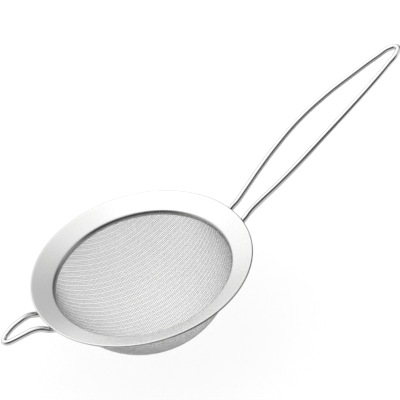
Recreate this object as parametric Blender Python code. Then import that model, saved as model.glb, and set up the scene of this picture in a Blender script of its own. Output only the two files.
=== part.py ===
"""Tea strainer: a woven wire bowl held in a pressed steel rim, with a bent wire handle and rest hook.

Units are metres and +Z is up. The rim is level and the handle points to +X. The origin is
on the ground under the bowl, at the bottom centre of the whole object's box.
"""

import math

import bmesh
import bpy
from mathutils import Matrix, Vector

MM = 0.001
GAP = 0.3 * MM              # clearance between pieces that touch on the real strainer
SEGMENTS = 64               # flats round each turned piece

# Rim: a sheet ring whose flange falls towards the bowl, with a turned-down lip and collar
RIM_RADIUS = 50.0 * MM
RIM_SLOPE = math.radians(22.8)
SHEET = 0.4 * MM
LIP_BEND = 0.5 * MM         # outside radius of the rim's top edge
LIP_DROP = 0.75 * MM        # from the top edge down to the lip's lower edge
COLLAR_RADIUS = 39.6 * MM   # inner face of the collar, which is the mouth of the bowl
COLLAR_BEND = 2.3 * MM      # radius of the bend between flange and collar, on its upper face
COLLAR_BOTTOM = -5.95 * MM

# Woven cloth: one pressed disc, shown here as a thin shell
CLOTH = 0.5 * MM
CLOTH_EDGE_RADIUS = 42.9 * MM
SKIRT_BOTTOM = -6.2 * MM
BOWL_BOTTOM = -39.0 * MM    # lowest point of the bowl, below the rim's top edge

# Clamp ring: the second pressing, which grips the cloth from below
CLAMP_EDGE_RADIUS = 43.3 * MM
CLAMP_BOTTOM = -7.0 * MM

# Wires, spot-welded under the flange
WIRE_RADIUS = 1.3 * MM
WELD_GAP = 0.8 * MM         # from the flange's underside to the wire
WIRE_DEPTH = (SHEET + WELD_GAP + WIRE_RADIUS) / math.cos(RIM_SLOPE)
LEG_END = 43.9 * MM
HANDLE_TIP = 146.5 * MM
HOOK_TIP = -68.9 * MM
WELD_AT = 46.4 * MM         # distance of each weld from the bowl's axis, along X
WELD_SIZE = (1.7 * MM, 2.5 * MM, 1.35 * MM)   # half sizes along the wire, across it, and in height

# The rim's top edge lies at this height, with the bowl's axis off centre towards the hook
RIM_CENTRE = Vector((-(HANDLE_TIP + HOOK_TIP) / 2, 0.0, -BOWL_BOTTOM))

# Centre line of half of each wire, from the leg's end to the bend at the tip: reach along X,
# half the spread between the legs, and height over the rim's top edge, in millimetres
HANDLE_ROUTE = (
    (49.8, 5.2, -2.6),
    (52.2, 5.0, -1.3),
    (55.0, 4.95, 0.55),
    (60.0, 5.85, 3.5),
    (70.0, 7.6, 8.8),
    (82.0, 8.85, 15.2),
    (95.0, 9.2, 21.7),
    (110.0, 8.35, 27.7),
    (125.0, 6.45, 32.8),
    (138.0, 4.2, 37.2),
    (144.2, 2.6, 39.2),
)
HANDLE_TIP_HEIGHT = 39.8
HOOK_ROUTE = (
    (-49.9, 6.3, -2.65),
    (-51.5, 6.0, -1.4),
    (-53.0, 5.6, -0.05),
    (-55.2, 5.0, 0.7),
    (-58.0, 4.5, 0.95),
    (-62.0, 3.9, 0.55),
    (-65.6, 2.9, -0.25),
    (-68.1, 1.6, -0.85),
)
HOOK_TIP_HEIGHT = -1.0


def clear_scene():
    for item in list(bpy.data.objects):
        bpy.data.objects.remove(item, do_unlink=True)


def steel(name, colour, roughness):
    material = bpy.data.materials.new(name)
    material.use_nodes = True
    shader = material.node_tree.nodes["Principled BSDF"]
    shader.inputs["Base Color"].default_value = (*colour, 1.0)
    shader.inputs["Roughness"].default_value = roughness
    shader.inputs["Metallic"].default_value = 1.0
    return material


def place(item, material):
    """Links a finished object, with its place given from the centre of the rim's top edge."""
    item.data.materials.append(material)
    bpy.context.scene.collection.objects.link(item)
    item.location = RIM_CENTRE
    return item


def arc(centre, radius, start, end, steps):
    """Points of an arc in the profile plane, as (distance from the axis, height)."""
    angles = (start + (end - start) * i / steps for i in range(steps + 1))
    return [(centre[0] + radius * math.cos(a), centre[1] + radius * math.sin(a)) for a in angles]


def flange_height(radius, depth=0.0):
    """Height of the flange's upper face at a radius, or of a face lying some depth under it."""
    lip_centre = RIM_RADIUS - LIP_BEND
    crest = -LIP_BEND + LIP_BEND / math.cos(RIM_SLOPE)
    return crest - (lip_centre - radius) * math.tan(RIM_SLOPE) - depth / math.cos(RIM_SLOPE)


def bend_centre():
    """Centre of the bend between flange and collar, shared by all the sheets nested in it."""
    radius = COLLAR_RADIUS + COLLAR_BEND
    return radius, flange_height(radius, COLLAR_BEND)


def nested_face(depth, edge_radius):
    """A face parallel to the rim's upper face: from its outer edge down to the collar."""
    cone_angle = math.pi / 2 + RIM_SLOPE
    edge = (edge_radius, flange_height(edge_radius, depth))
    return [edge] + arc(bend_centre(), COLLAR_BEND - depth, cone_angle, math.pi, 4)


def turned(name, outline, material, closed=True):
    """Spins an outline round the bowl's axis. It runs down its outer side and up its inner side."""
    mesh = bpy.data.meshes.new(name)
    bm = bmesh.new()
    corners = [bm.verts.new((radius, 0.0, height)) for radius, height in outline]
    pairs = list(zip(corners, corners[1:]))
    if closed:
        pairs.append((corners[-1], corners[0]))
    edges = [bm.edges.new(pair) for pair in pairs]
    bmesh.ops.spin(
        bm, geom=corners + edges, cent=(0, 0, 0), axis=(0, 0, 1),
        angle=2 * math.pi, steps=SEGMENTS, use_merge=True,
    )
    bmesh.ops.remove_doubles(bm, verts=bm.verts, dist=0.001 * MM)
    bmesh.ops.recalc_face_normals(bm, faces=bm.faces)
    bm.to_mesh(mesh)
    bm.free()
    mesh.shade_smooth()
    mesh.set_sharp_from_angle(angle=math.radians(50))
    return place(bpy.data.objects.new(name, mesh), material)


def make_rim_flange(material):
    """The visible pressing: lip, sloping flange and rounded collar in one sheet."""
    lip = (RIM_RADIUS - LIP_BEND, -LIP_BEND)
    cone_angle = math.pi / 2 + RIM_SLOPE
    lip_outside = arc(lip, LIP_BEND, cone_angle, 0.0, 4)
    lip_inside = arc(lip, LIP_BEND - SHEET, 0.0, cone_angle, 2)
    upper = nested_face(0.0, COLLAR_RADIUS + 2 * COLLAR_BEND)[1:]
    lower = nested_face(SHEET, COLLAR_RADIUS + 2 * COLLAR_BEND)[1:]
    outline = lip_outside
    outline += [(RIM_RADIUS, -LIP_DROP), (RIM_RADIUS - SHEET, -LIP_DROP)]
    outline += lip_inside + lower
    outline += [(COLLAR_RADIUS + SHEET, COLLAR_BOTTOM), (COLLAR_RADIUS, COLLAR_BOTTOM)]
    outline += upper[::-1]
    return turned("rim_flange", outline, material)


def make_mesh_bowl(material):
    """The cloth: an edge and a skirt gripped by the rim, and a round bowl down to its pole."""
    top = SHEET + GAP
    inner_face = nested_face(top, CLOTH_EDGE_RADIUS)
    outer_face = nested_face(top + CLOTH, CLOTH_EDGE_RADIUS)
    mouth = COLLAR_RADIUS + top
    depth = SKIRT_BOTTOM - (BOWL_BOTTOM + CLOTH)
    bowl_radius = (mouth ** 2 + depth ** 2) / (2 * depth)
    centre = (0.0, BOWL_BOTTOM + CLOTH + bowl_radius)
    pole = -math.pi / 2
    inner_mouth = -math.acos(mouth / bowl_radius)
    outer_mouth = -math.acos((mouth + CLOTH) / (bowl_radius + CLOTH))
    outline = arc(centre, bowl_radius, pole, inner_mouth, 11)
    outline += inner_face[::-1] + outer_face
    outline += arc(centre, bowl_radius + CLOTH, outer_mouth, pole, 11)
    return turned("mesh_bowl", outline, material, closed=False)


def make_clamp_ring(material):
    """The second pressing: a narrow cone under the cloth's edge and a collar round its skirt."""
    top = SHEET + GAP + CLOTH + GAP
    upper = nested_face(top, CLAMP_EDGE_RADIUS)
    lower = nested_face(top + SHEET, CLAMP_EDGE_RADIUS)
    inside = COLLAR_RADIUS + top
    outline = lower + [(inside + SHEET, CLAMP_BOTTOM), (inside, CLAMP_BOTTOM)] + upper[::-1]
    return turned("clamp_ring", outline, material)


def leg_height(reach, spread):
    """Height of a wire's centre line where its leg lies along the flange's underside."""
    return flange_height(math.hypot(reach, spread)) - WIRE_DEPTH


def make_wire(name, route, tip, tip_height, material):
    """One wire bent into a loop: up one leg, round the tip and back down the other leg."""
    side = math.copysign(1.0, tip)
    spread = route[0][1] * MM
    half = [Vector((side * x, spread, leg_height(x, spread))) for x in (LEG_END, 47.0 * MM)]
    half += [Vector(station) * MM for station in route]
    other = [Vector((point.x, -point.y, point.z)) for point in reversed(half)]
    points = half + [Vector((tip, 0.0, tip_height * MM))] + other
    curve = bpy.data.curves.new(name, "CURVE")
    curve.dimensions = "3D"
    curve.bevel_depth = WIRE_RADIUS
    curve.bevel_resolution = 2
    curve.use_fill_caps = True
    curve.resolution_u = 4
    spline = curve.splines.new("BEZIER")
    spline.bezier_points.add(len(points) - 1)
    for knot, point in zip(spline.bezier_points, points):
        knot.co = point
        knot.handle_left_type = "AUTO"
        knot.handle_right_type = "AUTO"
    return place(bpy.data.objects.new(name, curve), material)


def as_cutter(item):
    """Turns an object into a guide that only shapes other pieces."""
    item.hide_render = True
    item.display_type = "WIRE"
    return item


def make_flange_cutter(material):
    """Everything above the flange's underside, less the clearance."""
    inner = COLLAR_RADIUS
    outer = RIM_RADIUS - LIP_BEND
    bottom = SHEET + GAP
    roof = 5.0 * MM
    outline = [
        (outer, roof), (outer, flange_height(outer, bottom)),
        (inner, flange_height(inner, bottom)), (inner, roof),
    ]
    return as_cutter(turned("flange_cutter", outline, material))


def make_groove_cutter(name, wire_centre, tilt, material):
    """A straight rod along a leg, fatter than the wire by the clearance."""
    mesh = bpy.data.meshes.new(name)
    bm = bmesh.new()
    fat = WIRE_RADIUS + GAP
    bmesh.ops.create_cone(bm, cap_ends=True, segments=24, depth=8 * MM, radius1=fat, radius2=fat)
    lie_down = Matrix.Rotation(math.pi / 2, 4, "Y")
    bmesh.ops.transform(bm, matrix=Matrix.Translation(wire_centre) @ tilt @ lie_down, verts=bm.verts)
    bm.to_mesh(mesh)
    bm.free()
    return as_cutter(place(bpy.data.objects.new(name, mesh), material))


def make_weld(name, side, spread, material, flange_cutter):
    """A spot weld's metal: a saddle that fills the space between one wire leg and the flange."""
    wire_centre = Vector((side * WELD_AT, spread, leg_height(WELD_AT, spread)))
    tilt = Matrix.Rotation(-side * RIM_SLOPE, 4, "Y")
    up = tilt @ Vector((0.0, 0.0, 1.0))
    centre = wire_centre + up * (WIRE_RADIUS + WELD_GAP / 2)

    mesh = bpy.data.meshes.new(name)
    bm = bmesh.new()
    bmesh.ops.create_uvsphere(bm, u_segments=16, v_segments=10, radius=1.0)
    shape = Matrix.Translation(centre) @ tilt @ Matrix.Diagonal((*WELD_SIZE, 1.0))
    bmesh.ops.transform(bm, matrix=shape, verts=bm.verts)
    bm.to_mesh(mesh)
    bm.free()
    mesh.shade_smooth()

    item = place(bpy.data.objects.new(name, mesh), material)
    groove_cutter = make_groove_cutter(name + "_groove", wire_centre, tilt, material)
    for label, tool in (("clear of flange", flange_cutter), ("clear of wire", groove_cutter)):
        cut = item.modifiers.new(label, "BOOLEAN")
        cut.operation = "DIFFERENCE"
        cut.solver = "EXACT"
        cut.object = tool
    return item


def main():
    clear_scene()
    sheet_steel = steel("sheet steel", (0.72, 0.72, 0.71), 0.34)
    clamp_steel = steel("clamp steel", (0.66, 0.66, 0.65), 0.38)
    cloth_steel = steel("cloth steel", (0.62, 0.62, 0.61), 0.30)
    handle_steel = steel("handle steel", (0.78, 0.78, 0.77), 0.12)
    hook_steel = steel("hook steel", (0.76, 0.76, 0.75), 0.14)
    weld_steel = steel("weld steel", (0.50, 0.49, 0.47), 0.45)

    make_rim_flange(sheet_steel)
    make_mesh_bowl(cloth_steel)
    make_clamp_ring(clamp_steel)
    make_wire("handle_loop", HANDLE_ROUTE, HANDLE_TIP, HANDLE_TIP_HEIGHT, handle_steel)
    make_wire("rest_hook", HOOK_ROUTE, HOOK_TIP, HOOK_TIP_HEIGHT, hook_steel)

    flange_cutter = make_flange_cutter(weld_steel)
    for wire, side, route in (("handle", 1, HANDLE_ROUTE), ("hook", -1, HOOK_ROUTE)):
        spread = route[0][1] * MM
        make_weld(wire + "_weld_left", side, spread, weld_steel, flange_cutter)
        make_weld(wire + "_weld_right", side, -spread, weld_steel, flange_cutter)


main()
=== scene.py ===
import math

import bmesh
import bpy
import numpy as np
from mathutils import Matrix, Vector


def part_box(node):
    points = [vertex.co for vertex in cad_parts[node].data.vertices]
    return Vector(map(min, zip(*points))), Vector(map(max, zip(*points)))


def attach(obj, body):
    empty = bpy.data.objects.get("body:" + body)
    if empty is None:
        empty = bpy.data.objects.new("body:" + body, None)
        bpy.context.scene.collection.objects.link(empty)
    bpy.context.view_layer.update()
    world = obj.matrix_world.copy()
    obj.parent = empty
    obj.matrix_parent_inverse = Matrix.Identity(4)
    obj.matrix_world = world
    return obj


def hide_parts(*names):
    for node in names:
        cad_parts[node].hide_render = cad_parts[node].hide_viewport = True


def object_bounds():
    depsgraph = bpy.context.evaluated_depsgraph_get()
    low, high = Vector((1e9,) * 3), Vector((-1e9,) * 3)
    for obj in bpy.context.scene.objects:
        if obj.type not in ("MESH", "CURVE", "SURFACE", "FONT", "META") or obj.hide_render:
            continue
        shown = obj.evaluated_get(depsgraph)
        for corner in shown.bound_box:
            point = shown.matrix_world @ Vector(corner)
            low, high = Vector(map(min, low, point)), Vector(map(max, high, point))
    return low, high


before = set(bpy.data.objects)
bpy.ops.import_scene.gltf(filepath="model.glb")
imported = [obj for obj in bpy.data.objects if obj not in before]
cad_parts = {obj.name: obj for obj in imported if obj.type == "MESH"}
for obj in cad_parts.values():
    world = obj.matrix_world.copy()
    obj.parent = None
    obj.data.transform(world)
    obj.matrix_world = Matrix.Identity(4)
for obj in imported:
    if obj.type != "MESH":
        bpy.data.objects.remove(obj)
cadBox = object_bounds()

# Sizes are in millimetres and are laid out from the middle of the rim's top edge
mm = 0.001
rimLow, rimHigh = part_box("rim_flange")
rimMiddle = Vector(((rimLow.x + rimHigh.x) / 2, (rimLow.y + rimHigh.y) / 2, rimHigh.z))


def report(stage):
    print("tea strainer:", stage)


def deselectAll():
    if bpy.context.object and bpy.context.object.mode != "OBJECT":
        bpy.ops.object.mode_set(mode="OBJECT")
    bpy.ops.object.select_all(action="DESELECT")


def pickUp(piece):
    deselectAll()
    piece.select_set(True)
    bpy.context.view_layer.objects.active = piece


def openUp(piece):
    pickUp(piece)
    bpy.ops.object.mode_set(mode="EDIT")


def applyModifier(piece, kind, settings):
    pickUp(piece)
    modifier = piece.modifiers.new(kind.title(), kind)
    for key, value in settings.items():
        setattr(modifier, key, value)
    bpy.ops.object.modifier_apply(modifier=modifier.name)


def putDown(piece, name, material, nodes):
    # a finished piece has its place in its mesh, and rides on the strainer's one body
    pickUp(piece)
    bpy.ops.object.transform_apply(location=True, rotation=True, scale=True)
    piece.name = name
    piece.data.name = name
    piece.data.materials.clear()
    piece.data.materials.append(material)
    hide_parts(*nodes)
    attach(piece, "root")
    return piece


# One number or colour on its way through a material: sums on it add Math nodes
class Flow:
    def __init__(self, tree, socket=None):
        self.tree = tree
        self.socket = socket

    def through(self, kind, settings=None, sockets=None, output=0):
        node = self.tree.nodes.new(kind)
        for key, value in (settings or {}).items():
            setattr(node, key, value)
        for key, value in (sockets or {}).items():
            if isinstance(value, Flow):
                self.tree.links.new(value.socket, node.inputs[key])
            else:
                node.inputs[key].default_value = value
        return Flow(self.tree, node.outputs[output])

    def sum(self, operation, *values):
        return self.through("ShaderNodeMath", {"operation": operation}, dict(enumerate(values)))

    def __add__(self, other):
        return self.sum("ADD", self, other)

    def __sub__(self, other):
        return self.sum("SUBTRACT", self, other)

    def __rsub__(self, other):
        return self.sum("SUBTRACT", other, self)

    def __mul__(self, other):
        return self.sum("MULTIPLY", self, other)

    def __truediv__(self, other):
        return self.sum("DIVIDE", self, other)

    def __pow__(self, other):
        return self.sum("POWER", self, other)

    __radd__ = __add__
    __rmul__ = __mul__

    def rise(self, low, high):
        # 0 below low, 1 above high, smooth between them; low above high turns it round
        settings = {"interpolation_type": "SMOOTHSTEP"}
        if low < high:
            return self.through("ShaderNodeMapRange", settings, {0: self, 1: low, 2: high})
        return 1 - self.rise(high, low)

    def tint(self, first, second):
        # a colour that goes from first to second as this number goes from 0 to 1
        return self.through("ShaderNodeMix", {"data_type": "RGBA"}, {0: self, 6: first, 7: second}, 2)

    def split(self):
        axes = self.through("ShaderNodeSeparateXYZ", None, {0: self}).socket.node.outputs
        return [Flow(self.tree, axis) for axis in axes]

    def joined(self, x, y, z):
        return self.through("ShaderNodeCombineXYZ", None, {0: x, 1: y, 2: z})

    def noise(self, scale, detail=3.0, roughness=0.55):
        sockets = {"Vector": self, "Scale": scale, "Detail": detail, "Roughness": roughness}
        return self.through("ShaderNodeTexNoise", None, sockets)


def grey(value, warmth=0.0):
    return (value * (1 + warmth), value, value * (1 - warmth), 1.0)


def placeInMillimetres(flow):
    # object coordinates, turned into millimetres from the rim's middle
    place = flow.through("ShaderNodeTexCoord", None, None, 3)
    sockets = {"Vector": place, "Location": rimMiddle / -mm, "Scale": (1 / mm, 1 / mm, 1 / mm)}
    return flow.through("ShaderNodeMapping", None, sockets)


def bareSteel(name, metal):
    # a metal shader with the numbers that are the same all over it
    material = bpy.data.materials.new(name)
    material.use_nodes = True
    shader = material.node_tree.nodes["Principled BSDF"]
    shader.inputs["Metallic"].default_value = 1.0
    for key, value in metal.items():
        shader.inputs[key].default_value = value
    return material, shader, Flow(material.node_tree)


def wire(shader, flow, colour, roughness, height, depth, strength):
    tree = shader.id_data
    bump = flow.through("ShaderNodeBump", None, {"Height": height, "Distance": depth, "Strength": strength})
    tree.links.new(colour.socket, shader.inputs["Base Color"])
    tree.links.new(roughness.socket, shader.inputs["Roughness"])
    tree.links.new(bump.socket, shader.inputs["Normal"])


rimSpec = {
    "radius": 50.0,
    "slope": math.radians(22.8),    # fall of the flange towards the bowl
    "sheet": 0.4,
    "lipBend": 0.5,                 # outside radius of the top edge
    "lipDrop": 0.75,                # from the top edge to the lip's lower edge
    "mouthRadius": 39.6,            # inner face of the collar
    "collarBend": 2.3,
    "collarBottom": -5.95,
    "sides": 240,
    "brushLines": 2.2,              # polishing lines to the millimetre
    "collarPaintedShade": 0.40,             # how much painted shade darkens the collar's crease
    "colour": 0.60,
    "roughness": 0.27,
}


def flangeHeight(radius, depth=0.0):
    slope = rimSpec["slope"]
    bend = rimSpec["lipBend"]
    crest = bend / math.cos(slope) - bend
    return crest - (rimSpec["radius"] - bend - radius) * math.tan(slope) - depth / math.cos(slope)


def arcPoints(centre, radius, start, end, steps):
    turns = [start + (end - start) * step / steps for step in range(steps + 1)]
    return [(centre[0] + radius * math.cos(a), centre[1] + radius * math.sin(a)) for a in turns]


# The flange, the cloth's edge and the clamp ring all turn down round this point
bendRadius = rimSpec["mouthRadius"] + rimSpec["collarBend"]
bendCentre = (bendRadius, flangeHeight(bendRadius, rimSpec["collarBend"]))
flangeTurn = math.pi / 2 + rimSpec["slope"]


def coneAndBend(depth, edgeRadius, steps, rings):
    # a face some depth under the flange's: rings along its cone, then the bend into its collar
    bend = arcPoints(bendCentre, rimSpec["collarBend"] - depth, flangeTurn, math.pi, steps)
    reach = edgeRadius - bend[0][0]
    radii = [edgeRadius - reach * ring / rings for ring in range(rings)]
    return [(radius, flangeHeight(radius, depth)) for radius in radii] + bend


def pressSheet(outline, sides, thickness):
    # a ring of edges is extruded and resized from station to station, then given its thickness
    deselectAll()
    radius, height = outline[0]
    place = rimMiddle + Vector((0, 0, height * mm))
    bpy.ops.mesh.primitive_circle_add(vertices=sides, radius=radius * mm, location=place)
    piece = bpy.context.object
    bpy.ops.object.mode_set(mode="EDIT")
    bpy.ops.mesh.select_all(action="SELECT")
    for (wide, high), (nextWide, nextHigh) in zip(outline, outline[1:]):
        step = (0, 0, (nextHigh - high) * mm)
        bpy.ops.mesh.extrude_region_move(TRANSFORM_OT_translate={"value": step})
        factor = nextWide / wide
        bpy.ops.transform.resize(value=(factor, factor, 1), center_override=rimMiddle)
    faceUp(piece)
    bpy.ops.object.mode_set(mode="OBJECT")
    sheet = {"thickness": thickness * mm, "offset": -1.0, "use_even_offset": True}
    applyModifier(piece, "SOLIDIFY", sheet)
    edges = {"width": thickness * mm / 4, "segments": 2, "angle_limit": math.radians(60)}
    applyModifier(piece, "BEVEL", edges)
    bpy.ops.object.shade_smooth_by_angle(angle=math.radians(50))
    return piece


def faceUp(piece):
    # the flange's own face points up, and the sheet's thickness goes below it
    mesh = bmesh.from_edit_mesh(piece.data)
    bmesh.ops.recalc_face_normals(mesh, faces=mesh.faces)
    mesh.normal_update()
    flattest = max(mesh.faces, key=lambda face: abs(face.normal.z))
    if flattest.normal.z < 0:
        bmesh.ops.reverse_faces(mesh, faces=mesh.faces)
    bmesh.update_edit_mesh(piece.data)


def makeRim(material):
    lipCentre = (rimSpec["radius"] - rimSpec["lipBend"], -rimSpec["lipBend"])
    outline = [(rimSpec["radius"], -rimSpec["lipDrop"])]
    outline += arcPoints(lipCentre, rimSpec["lipBend"], 0.0, flangeTurn, 8)
    outline += coneAndBend(0.0, outline[-1][0], 14, 10)[1:]
    outline += [(rimSpec["mouthRadius"], rimSpec["collarBottom"])]
    piece = pressSheet(outline, rimSpec["sides"], rimSpec["sheet"])
    return putDown(piece, "rimFlange", material, ["rim_flange"])


clampSpec = {
    "depth": 1.5,                   # its upper face, below the flange's upper face
    "edgeRadius": 43.3,
    "bottom": -7.0,
    "sides": 200,
    "colour": 0.55,
    "roughness": 0.34,
}


def makeClampRing(material):
    outline = coneAndBend(clampSpec["depth"], clampSpec["edgeRadius"], 8, 3)
    outline += [(outline[-1][0], clampSpec["bottom"])]
    piece = pressSheet(outline, clampSpec["sides"], rimSpec["sheet"])
    return putDown(piece, "clampRing", material, ["clamp_ring"])


clothSpec = {
    "pitch": 0.777,                 # from one wire to the next
    "wire": 0.20,                   # wire diameter
    "slack": 0.005,                 # added to the wire's radius for its rise at a crossing
    "turn": math.radians(-6),       # the weave lies almost in line with the handle
    "depth": 0.95,                  # middle of the cloth, below the flange's upper face
    "edgeRadius": 42.9,
    "skirtBottom": -6.2,
    "bowlBottom": -39.0,
    "steps": 2,                     # of a wire, between one crossing and the next
    "drawn": 0.5,                   # how far the press has pulled the wires together up the wall
    "reedMark": 0.30,               # warp wires lie in threes, closer by this share of a step
    "proud": 0.03,                  # the middle one of three stands up by this
    "colour": 0.57,
    "roughness": 0.24,
}

# The cloth's half section from its pole: bowl, skirt, bend and edge, each with its length
clothTip = clothSpec["bowlBottom"] + clothSpec["wire"]
skirtRadius = rimSpec["mouthRadius"] + clothSpec["depth"]
bowlDepth = clothSpec["skirtBottom"] - clothTip
bowlRadius = (skirtRadius ** 2 + bowlDepth ** 2) / (2 * bowlDepth)
bowlCentre = clothTip + bowlRadius
bowlLength = bowlRadius * math.asin(skirtRadius / bowlRadius)
skirtLength = bowlLength + bendCentre[1] - clothSpec["skirtBottom"]
foldRadius = rimSpec["collarBend"] - clothSpec["depth"]
foldLength = skirtLength + foldRadius * (math.pi / 2 - rimSpec["slope"])
foldEnd = (
    bendCentre[0] + foldRadius * math.cos(flangeTurn),
    bendCentre[1] + foldRadius * math.sin(flangeTurn),
)
clothLength = foldLength + (clothSpec["edgeRadius"] - foldEnd[0]) / math.cos(rimSpec["slope"])


def clothSection(along):
    # radius, height and steepness of the cloth at a distance from its pole
    lean = along / bowlRadius
    round_ = np.pi / 2 - (along - skirtLength) / foldRadius
    beyond = along - foldLength
    slope = rimSpec["slope"]
    parts = [along < bowlLength, along < skirtLength, along < foldLength]
    radius = np.select(parts, [
        bowlRadius * np.sin(lean),
        skirtRadius,
        bendCentre[0] - foldRadius * np.sin(round_),
    ], foldEnd[0] + beyond * math.cos(slope))
    height = np.select(parts, [
        bowlCentre - bowlRadius * np.cos(lean),
        clothSpec["skirtBottom"] + along - bowlLength,
        bendCentre[1] + foldRadius * np.cos(round_),
    ], foldEnd[1] + beyond * math.sin(slope))
    steepness = np.select(parts, [lean, np.pi / 2, round_], slope)
    return radius, height, steepness


def clothPoints(along, around):
    # places on the cloth, its direction away from the pole, and its direction into the bowl
    radius, height, steepness = clothSection(along)
    out = np.stack([np.cos(around), np.sin(around), np.zeros_like(around)], -1)
    up = np.array([0.0, 0.0, 1.0])
    lean, rise = np.cos(steepness)[..., None], np.sin(steepness)[..., None]
    place = out * radius[..., None] + up * height[..., None]
    return place, out * lean + up * rise, up * lean - out * rise


def knotDistance(place):
    # distance from the pole of the cloth's point in line with a place, seen from the bowl's centre
    table = np.linspace(0, clothLength * 1.6, 2000)
    radius, height, steepness = clothSection(table)
    angles = np.arctan2(radius, bowlCentre - height)
    seen = np.arctan2(np.hypot(place[:, 0], place[:, 1]), bowlCentre - place[:, 2])
    return np.interp(seen, angles, table)


def nextKnots(behind, first, second, step):
    # the places one step from both neighbours: woven wire shears, and doesn't stretch
    guess = first + second - behind
    along = knotDistance(guess)
    around = np.arctan2(guess[:, 1], guess[:, 0])
    for attempt in range(4):
        place, out, up = clothPoints(along, around)
        side = np.stack([-place[:, 1], place[:, 0], np.zeros_like(along)], -1)
        gaps = [place - first, place - second]
        missing = [(gap ** 2).sum(1) - step ** 2 for gap in gaps]
        a, b = (2 * (gaps[0] * way).sum(1) for way in (out, side))
        c, d = (2 * (gaps[1] * way).sum(1) for way in (out, side))
        spread = a * d - b * c
        along = along - (d * missing[0] - b * missing[1]) / spread
        around = around - (a * missing[1] - c * missing[0]) / spread
    return along, around


def drapeCloth():
    # a square grid of knots pressed into the bowl, started from two straight wires that cross at the pole
    step = clothSpec["pitch"] / clothSpec["steps"]
    size = int(clothLength / step) + 4
    along = np.full((2 * size + 1, 2 * size + 1), np.nan)
    around = np.full_like(along, np.nan)
    for knot in range(-size, size + 1):
        back = math.pi if knot < 0 else 0.0
        along[size + knot, size] = along[size, size + knot] = abs(knot) * step
        around[size + knot, size] = clothSpec["turn"] + back
        around[size, size + knot] = clothSpec["turn"] + math.pi / 2 + back
    place = clothPoints(along, around)[0]
    for signX, signY in ((1, 1), (1, -1), (-1, 1), (-1, -1)):
        for diagonal in range(2 * size - 1):
            across = np.arange(max(0, diagonal - size + 1), min(size - 1, diagonal) + 1)
            row, column = size + signX * across, size + signY * (diagonal - across)
            near = (place[row, column], place[row + signX, column], place[row, column + signY])
            found = nextKnots(*near, step)
            along[row + signX, column + signY], around[row + signX, column + signY] = found
            place[row + signX, column + signY] = clothPoints(*found)[0]
    # the press also stretches the cloth, as if the square grid had been cast onto the bowl from its centre
    lean = np.tan(np.arange(-size, size + 1) * step / bowlRadius)
    castAlong = bowlRadius * np.arctan(np.hypot(lean[:, None], lean[None, :]))
    castAround = clothSpec["turn"] + np.arctan2(lean[None, :], lean[:, None])
    swing = (castAround - around + math.pi) % (2 * math.pi) - math.pi
    drawn = clothSpec["drawn"]
    return along + (castAlong - along) * drawn, around + swing * drawn


def trimmedWire(along, points):
    # the middle stretch of one wire that lies inside the cloth's cut edge, ended right at the cut
    inside = np.flatnonzero(np.nan_to_num(along, nan=1e9) <= clothLength)
    if len(inside) < 4:
        return None
    breaks = np.flatnonzero(np.diff(inside) > 1)
    runs = np.split(inside, breaks + 1)
    run = max(runs, key=len)
    line = [points[place] for place in run]
    for end, beyond, at in ((run[0], run[0] - 1, 0), (run[-1], run[-1] + 1, len(line))):
        if 0 <= beyond < len(along) and np.isfinite(along[beyond]):
            share = (clothLength - along[end]) / (along[beyond] - along[end])
            line.insert(at, points[end] + (points[beyond] - points[end]) * share)
    return np.array(line)


def weaveWires(along, around):
    # every wire goes over one crossing wire and under the next
    place, out, up = clothPoints(along, around)
    steps = clothSpec["steps"]
    size = len(along) // 2
    crimp = clothSpec["wire"] / 2 + clothSpec["slack"]
    count = np.arange(-size, size + 1)
    wave = np.cos(math.pi * count / steps) * crimp
    families = []
    for points, lengths, normals, way in (
        (place, along, up, 1),
        (place.swapaxes(0, 1), along.T, up.swapaxes(0, 1), -1),
    ):
        lines = []
        for number in range(-(size // steps), size // steps + 1):
            column = size + number * steps
            lift = way * wave * (-1 if number % 2 else 1)
            middle = points[:, column] + normals[:, column] * lift[:, None]
            if way == 1:
                # reed marks: the two outer wires of three lie nearer to the middle one, which is proud
                towards = (0, -1, 1)[number % 3]
                aside = np.nan_to_num(points[:, column + towards] - points[:, column])
                raised = clothSpec["proud"] * (1 if towards == 0 else -0.5)
                middle = middle + aside * clothSpec["reedMark"] + normals[:, column] * raised
            line = trimmedWire(lengths[:, column], middle)
            if line is not None:
                lines.append((number, line))
        families.append(lines)
    return families


def drawWires(name, lines, material):
    curve = bpy.data.curves.new(name, "CURVE")
    curve.dimensions = "3D"
    curve.bevel_depth = clothSpec["wire"] / 2 * mm
    curve.bevel_resolution = 0
    curve.use_fill_caps = True
    for line in lines:
        spline = curve.splines.new("POLY")
        spline.points.add(len(line) - 1)
        places = np.ones((len(line), 4))
        places[:, :3] = line * mm + np.array(rimMiddle)
        spline.points.foreach_set("co", places.ravel())
    piece = bpy.data.objects.new(name, curve)
    bpy.context.scene.collection.objects.link(piece)
    pickUp(piece)
    bpy.ops.object.convert(target="MESH")
    piece = bpy.context.object
    spreadMap(piece.data, lines)
    openUp(piece)
    bpy.ops.mesh.select_all(action="SELECT")
    bpy.ops.mesh.remove_doubles(threshold=0.001 * mm)
    bpy.ops.mesh.normals_make_consistent(inside=False)
    bpy.ops.object.mode_set(mode="OBJECT")
    bpy.ops.object.shade_smooth()
    return putDown(piece, name, material, ["mesh_bowl"])


def spreadMap(mesh, lines):
    # the wires come with one map each, all in the same place: here each gets a strip of its own
    around = 4
    ends = 2 * around * len(lines)
    corners = np.empty(len(mesh.loops), int)
    mesh.loops.foreach_get("vertex_index", corners)
    lasts = ends + around * np.cumsum([len(line) for line in lines])
    number = np.where(corners < ends, corners // (2 * around), np.searchsorted(lasts, corners, "right"))
    layer = mesh.uv_layers[0]
    layer.name = "OFBake"
    places = np.empty(2 * len(corners))
    layer.uv.foreach_get("vector", places)
    places[1::2] = (number + 0.05 + places[1::2] * 0.9) / len(lines)
    layer.uv.foreach_set("vector", places)


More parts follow.
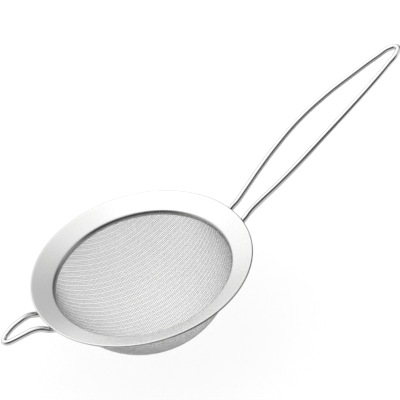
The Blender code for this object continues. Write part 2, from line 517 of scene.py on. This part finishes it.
def makeCloth(material):
    warp, weft = weaveWires(*drapeCloth())
    for name, lines, keep in (
        ("clothWarpLeft", warp, lambda number: number >= 0),
        ("clothWarpRight", warp, lambda number: number < 0),
        ("clothWeftHandleSide", weft, lambda number: number >= 0),
        ("clothWeftHookSide", weft, lambda number: number < 0),
    ):
        piece = drawWires(name, [line for number, line in lines if keep(number)], material)
        report(f"{name}: {len(piece.data.polygons)} faces")


wireSpec = {
    "radius": 1.3,
    "weldGap": 0.8,                 # from the flange's underside to the wire
    "legEnd": 43.9,
    "legMiddle": 47.0,
    "weldAt": 46.4,
    "roundness": 6,
    "handleColour": 0.60,
    "hookColour": 0.58,
    "roughness": 0.09,
}
handleSpec = {
    "tip": (146.5, 39.8),           # reach and height of the loop's end
    "stations": [                   # reach, half the spread of the legs, height
        (49.8, 5.35, -2.45), (51.8, 5.3, -1.3), (54.3, 5.15, 0.1), (60.0, 5.9, 3.4),
        (70.0, 7.6, 8.8), (82.0, 8.85, 15.2), (95.0, 9.2, 21.7), (110.0, 8.35, 27.7),
        (125.0, 6.45, 32.8), (138.0, 4.2, 37.2), (144.2, 2.6, 39.2),
    ],
}
hookSpec = {
    "tip": (-68.9, -1.0),
    "stations": [
        (-49.9, 6.3, -2.0), (-51.4, 6.05, -0.95), (-53.0, 5.65, 0.1), (-55.2, 5.05, 0.8),
        (-58.0, 4.5, 0.95), (-62.0, 3.9, 0.55), (-65.6, 2.9, -0.25), (-68.1, 1.6, -0.85),
    ],
}


def legHeight(reach, spread):
    # middle of a wire where its leg lies along the flange's underside
    depth = (rimSpec["sheet"] + wireSpec["weldGap"] + wireSpec["radius"]) / math.cos(rimSpec["slope"])
    return flangeHeight(math.hypot(reach, spread)) - depth


def bendWire(name, spec, material, node):
    # one leg, the bend at the tip and the other leg, drawn as a smooth curve and filled out to the wire
    side = math.copysign(1.0, spec["tip"][0])
    spread = spec["stations"][0][1]
    legs = (wireSpec["legEnd"], wireSpec["legMiddle"])
    half = [(side * reach, spread, legHeight(reach, spread)) for reach in legs]
    half += spec["stations"]
    route = half + [(spec["tip"][0], 0.0, spec["tip"][1])] + [(x, -y, z) for x, y, z in reversed(half)]
    deselectAll()
    bpy.ops.curve.primitive_bezier_curve_add(location=rimMiddle)
    piece = bpy.context.object
    bpy.ops.object.mode_set(mode="EDIT")
    bpy.ops.curve.select_all(action="SELECT")
    bpy.ops.curve.delete(type="VERT")
    for station in route:
        bpy.ops.curve.vertex_add(location=rimMiddle + Vector(station) * mm)
    bpy.ops.curve.select_all(action="SELECT")
    bpy.ops.curve.handle_type_set(type="AUTOMATIC")
    bpy.ops.object.mode_set(mode="OBJECT")
    piece.data.bevel_depth = wireSpec["radius"] * mm
    piece.data.bevel_resolution = wireSpec["roundness"]
    piece.data.resolution_u = 10
    piece.data.use_fill_caps = True
    bpy.ops.object.convert(target="MESH")
    piece = bpy.context.object
    openUp(piece)
    bpy.ops.mesh.select_all(action="SELECT")
    bpy.ops.mesh.remove_doubles(threshold=0.001 * mm)
    bpy.ops.mesh.normals_make_consistent(inside=False)
    bpy.ops.object.mode_set(mode="OBJECT")
    applyModifier(piece, "BEVEL", {"width": 0.25 * mm, "segments": 3, "angle_limit": math.radians(60)})
    bpy.ops.object.shade_smooth_by_angle(angle=math.radians(50))
    return putDown(piece, name, material, [node])


weldSpec = {
    "halfSize": (1.9, 2.7, 1.25),   # along the wire, across it, and in height
    "lumps": 0.35,
    "colour": 0.42,
    "roughness": 0.42,
}


def makeWeld(name, side, spread, node, material):
    # a squeezed ball of metal between one leg and the flange, lumpy where it has run out and set
    reach = side * wireSpec["weldAt"]
    height = legHeight(reach, spread) + wireSpec["radius"] / 2
    middle = rimMiddle + Vector((reach, spread, height)) * mm
    deselectAll()
    bpy.ops.mesh.primitive_uv_sphere_add(segments=40, ring_count=20, radius=mm, location=middle)
    piece = bpy.context.object
    bpy.ops.object.mode_set(mode="EDIT")
    bpy.ops.mesh.select_all(action="SELECT")
    bpy.ops.transform.resize(value=weldSpec["halfSize"], center_override=middle)
    bpy.ops.transform.rotate(value=side * rimSpec["slope"], orient_axis="Y", center_override=middle)
    bpy.ops.object.mode_set(mode="OBJECT")
    grain = bpy.data.textures.new(name + "Lumps", "CLOUDS")
    grain.noise_scale = 1.3 * mm
    lumps = {"texture": grain, "strength": weldSpec["lumps"] * mm, "texture_coords": "GLOBAL"}
    applyModifier(piece, "DISPLACE", lumps)
    bpy.ops.object.shade_smooth()
    return putDown(piece, name, material, [node])


def rimSteel():
    material, shader, flow = bareSteel("satin rim steel", {"Specular Tint": grey(0.85)})
    place = placeInMillimetres(flow)
    x, y, z = place.split()
    radius = (x * x + y * y) ** 0.5
    # polishing lines run round the rim, so the pattern changes fast outwards and slowly round it
    lines = place.joined(x / radius * 3.0, y / radius * 3.0, radius * rimSpec["brushLines"])
    brushed = lines.noise(1.0, 5.0, 0.65)
    cloudy = place.noise(0.06, 3.0)
    specks = place.noise(3.2, 2.0).rise(0.70, 0.78)
    tone = (brushed - 0.5) * 0.18 + (cloudy - 0.5) * 0.20 + 0.5 - specks * 0.12
    # painted shade: the base colour goes nearly black in the collar's crease, along the lip's edge and
    # under the lip, unevenly round the rim
    # painted shade: the collar's crease is darkened in the base colour, where shade falls
    collar = radius.rise(40.75, 40.05) * rimSpec["collarPaintedShade"]
    farSide = (x * 0.6 + y).rise(0.0, 25.0)
    handleSide = x.rise(-45.0, 25.0)
    # painted shade: the lip's edge is darkened into an outline, more on the far and handle sides
    lip = radius.rise(49.40, 49.80) * (handleSide * 0.30 + farSide * 0.45 + 0.10)
    # painted shade: the lip's lower face is darkened, mostly on the handle side
    lipUndersideShade = z.rise(-0.15, -0.35) * radius.rise(49.0, 49.4) * (handleSide * 0.65 + 0.08)
    # share of the rim left without painted shade
    unshadedShare = (1 - collar) * (1 - lip) * (1 - lipUndersideShade)
    unshadedTone = tone.tint(grey(rimSpec["colour"] * 0.88, 0.006), grey(rimSpec["colour"] * 1.10, 0.002))
    colour = unshadedShare.tint(grey(0.02), unshadedTone)
    roughness = (brushed - 0.5) * 0.04 + (cloudy - 0.5) * 0.05 + rimSpec["roughness"]
    wire(shader, flow, heatTint(flow, place, colour), roughness, brushed, 0.02 * mm, 0.03)
    return material


def heatTint(flow, place, colour):
    # straw and brown halos that the spot welds leave on the steel round them, under the rim only
    x, y, z = place.split()
    across = (y * y) ** 0.5
    radius = (x * x + y * y) ** 0.5
    fall = z - radius * math.tan(rimSpec["slope"])
    face = flangeHeight(0.0)
    under = fall.rise(face - 0.2, face - 0.3)
    halo = None
    for spec in (handleSpec, hookSpec):
        side = math.copysign(1.0, spec["tip"][0])
        gapX = x - side * wireSpec["weldAt"]
        gapY = across - spec["stations"][0][1]
        near = ((gapX * gapX + gapY * gapY) ** 0.5).rise(3.0, 1.2)
        halo = near if halo is None else halo + near
    halo = halo * under
    straw = (halo * 0.55).tint(grey(1.0), (0.98, 0.80, 0.50, 1.0))
    return flow.through(
        "ShaderNodeMix", {"data_type": "RGBA", "blend_type": "MULTIPLY"}, {0: 1.0, 6: colour, 7: straw}, 2
    )


def clampSteel():
    material, shader, flow = bareSteel("dull clamp steel", {})
    place = placeInMillimetres(flow)
    x, y, z = place.split()
    radius = (x * x + y * y) ** 0.5
    drawn = place.joined(x / radius * 14.0, y / radius * 14.0, z * 0.5).noise(1.0, 5.0, 0.6)
    cloudy = place.noise(0.1, 3.0)
    tone = drawn * 0.6 + cloudy * 0.4
    colour = tone.tint(grey(clampSpec["colour"] * 0.82, 0.01), grey(clampSpec["colour"] * 1.1, 0.0))
    wire(shader, flow, colour, (drawn - 0.5) * 0.15 + clampSpec["roughness"], drawn, 0.02 * mm, 0.3)
    return material


def clothSteel():
    material, shader, flow = bareSteel("woven cloth steel", {})
    place = placeInMillimetres(flow)
    strands = place.noise(0.9, 2.0)
    cloudy = place.noise(0.05, 3.0)
    tone = strands * 0.55 + cloudy * 0.45
    colour = tone.tint(grey(clothSpec["colour"] * 0.84, 0.008), grey(clothSpec["colour"] * 1.12, 0.0))
    wire(shader, flow, colour, strands * 0.14 + clothSpec["roughness"] - 0.07, strands, 0.01 * mm, 0.2)
    return material


def polishedSteel(name, colour):
    material, shader, flow = bareSteel(name, {"Specular Tint": grey(0.35)})
    place = placeInMillimetres(flow)
    rubbed = place.noise(0.35, 4.0, 0.6)
    scratches = place.noise(5.0, 3.0, 0.7).rise(0.58, 0.74)
    tone = rubbed * 0.8 - scratches * 0.15 + 0.1
    tinted = tone.tint(grey(colour * 0.92, 0.004), grey(colour * 1.06, 0.0))
    roughness = rubbed * 0.05 + scratches * 0.05 + wireSpec["roughness"] - 0.03
    wire(shader, flow, heatTint(flow, place, tinted), roughness, rubbed + scratches * 0.2, 0.02 * mm, 0.12)
    return material


def weldSteel():
    material, shader, flow = bareSteel("scorched weld steel", {})
    place = placeInMillimetres(flow)
    grain = place.noise(1.6, 5.0, 0.65)
    scorch = place.noise(0.45, 2.0).rise(0.38, 0.62)
    metal = grain.tint(grey(weldSpec["colour"] * 0.6, 0.02), grey(weldSpec["colour"] * 1.15, 0.01))
    tint = scorch.tint((0.86, 0.72, 0.50, 1.0), (0.62, 0.64, 0.72, 1.0))
    colour = flow.through(
        "ShaderNodeMix", {"data_type": "RGBA", "blend_type": "MULTIPLY"}, {0: 0.7, 6: metal, 7: tint}, 2
    )
    wire(shader, flow, colour, grain * 0.3 + weldSpec["roughness"] - 0.15, grain, 0.15 * mm, 0.6)
    return material


floorSpec = {
    "radius": 0.105,
    "paper": 0.14,
    "glow": 0.86,
}
lightSpec = {
    "around": 0.80,                 # brightness of the tent's plain walls
    "window": (-0.299, 0.641, 0.707),
    "windowGain": 0.80,             # more light from the far left
    "strip": (0.438, 0.899, 0.0),
    "stripGain": 0.60,              # a low light behind the strainer
    "overheadGain": 0.55,
    "horizonGain": 0.60,            # low down, where the white sweep shows
    "dimSide": (0.960, 0.260, 0.110),
    "dimming": 0.85,                # an unlit corner far to the right
    "dark": 0.05,                   # unlit side of the room, behind the camera
}
cameraSpec = {
    "aim": (-3.87, 0.13, 55.09),    # millimetres, in the model's own frame
    "distance": 700.0,
    "turn": math.radians(-22.72),
    "tilt": math.radians(51.03),
    "roll": math.radians(-13.95),
    "lens": 143.34,
}


def layFloor():
    deselectAll()
    place = (0, 0, cadBox[0][2])
    disc = {"vertices": 128, "radius": floorSpec["radius"], "fill_type": "NGON"}
    bpy.ops.mesh.primitive_circle_add(location=place, **disc)
    floor = bpy.context.object
    floor.name = "paperFloor"
    material = bpy.data.materials.new("white paper")
    material.use_nodes = True
    shader = material.node_tree.nodes["Principled BSDF"]
    flow = Flow(material.node_tree)
    fibre = flow.through("ShaderNodeTexCoord", None, None, 3).noise(40.0, 4.0)
    colour = fibre.tint(grey(floorSpec["paper"] * 0.99), grey(floorSpec["paper"] * 1.01))
    material.node_tree.links.new(colour.socket, shader.inputs["Base Color"])
    shader.inputs["Roughness"].default_value = 0.9
    shader.inputs["Specular IOR Level"].default_value = 0.1
    shader.inputs["Emission Color"].default_value = grey(1.0)
    shader.inputs["Emission Strength"].default_value = floorSpec["glow"]
    floor.data.materials.append(material)


def lightStudio():
    # a white tent that is brightest overhead, with an unlit gap low down on the camera's side
    world = bpy.data.worlds.new("studio tent")
    bpy.context.scene.world = world
    world.use_nodes = True
    tree = world.node_tree
    flow = Flow(tree)
    x, y, z = flow.through("ShaderNodeTexCoord", None, None, 0).split()
    side = lightSpec["window"]
    window = (x * side[0] + y * side[1] + z * side[2]).rise(0.50, 0.95)
    level = window * lightSpec["windowGain"] + z.rise(0.60, 0.98) * lightSpec["overheadGain"]
    level = level + z.rise(0.20, -0.10) * lightSpec["horizonGain"] + lightSpec["around"]
    strip = lightSpec["strip"]
    level = level + (x * strip[0] + y * strip[1] + z * strip[2]).rise(0.93, 0.995) * lightSpec["stripGain"]
    back = (math.sin(cameraSpec["turn"]), -math.cos(cameraSpec["turn"]))
    flat = (x * x + y * y) ** 0.5 + 0.001
    behindCamera = ((x * back[0] + y * back[1]) / flat).rise(0.15, 0.70)
    rightwards = ((y * back[0] - x * back[1]) / flat).rise(0.20, 0.60)
    low = z.rise(-1.30, 0.75) * (1 - rightwards) + z.rise(-2.80, 0.75) * rightwards
    gap = behindCamera * z.rise(0.86, 0.68) * low
    dim = lightSpec["dimSide"]
    corner = (x * dim[0] + y * dim[1] + z * dim[2]).rise(0.86, 0.97) * lightSpec["dimming"]
    gap = 1 - (1 - gap) * (1 - corner)
    level = level * (1 - gap) + gap * lightSpec["dark"]
    seen = flow.through("ShaderNodeLightPath")
    level = seen * 1.2 + (1 - seen) * level
    background = tree.nodes["Background"]
    background.inputs["Color"].default_value = grey(1.0)
    tree.links.new(level.socket, background.inputs["Strength"])


def placeCamera():
    spec = cameraSpec
    camera = bpy.data.objects.new("camera", bpy.data.cameras.new("camera"))
    camera.data.lens = spec["lens"]
    bpy.context.scene.collection.objects.link(camera)
    turned = Matrix.Rotation(spec["turn"], 4, "Z") @ Matrix.Rotation(spec["tilt"], 4, "X")
    turned = turned @ Matrix.Rotation(spec["roll"], 4, "Z")
    reach = Matrix.Translation((0, 0, spec["distance"] * mm))
    camera.matrix_world = Matrix.Translation(Vector(spec["aim"]) * mm) @ turned @ reach
    bpy.context.scene.camera = camera


placeCamera()
report("camera placed")

makeRim(rimSteel())
makeClampRing(clampSteel())
report("rim and clamp ring pressed")

makeCloth(clothSteel())

handleMetal = polishedSteel("polished handle steel", wireSpec["handleColour"])
bendWire("handleLoop", handleSpec, handleMetal, "handle_loop")
hookMetal = polishedSteel("polished hook steel", wireSpec["hookColour"])
bendWire("restHook", hookSpec, hookMetal, "rest_hook")
report("handle and rest hook bent")

scorched = weldSteel()
for label, spec in (("handle", handleSpec), ("hook", hookSpec)):
    side = math.copysign(1.0, spec["tip"][0])
    spread = spec["stations"][0][1]
    for word, sign in (("left", 1), ("right", -1)):
        makeWeld(f"{label}Weld{word.title()}", side, sign * spread, f"{label}_weld_{word}", scorched)
report("legs welded")

layFloor()
lightStudio()
bpy.context.scene.view_settings.view_transform = "Standard"
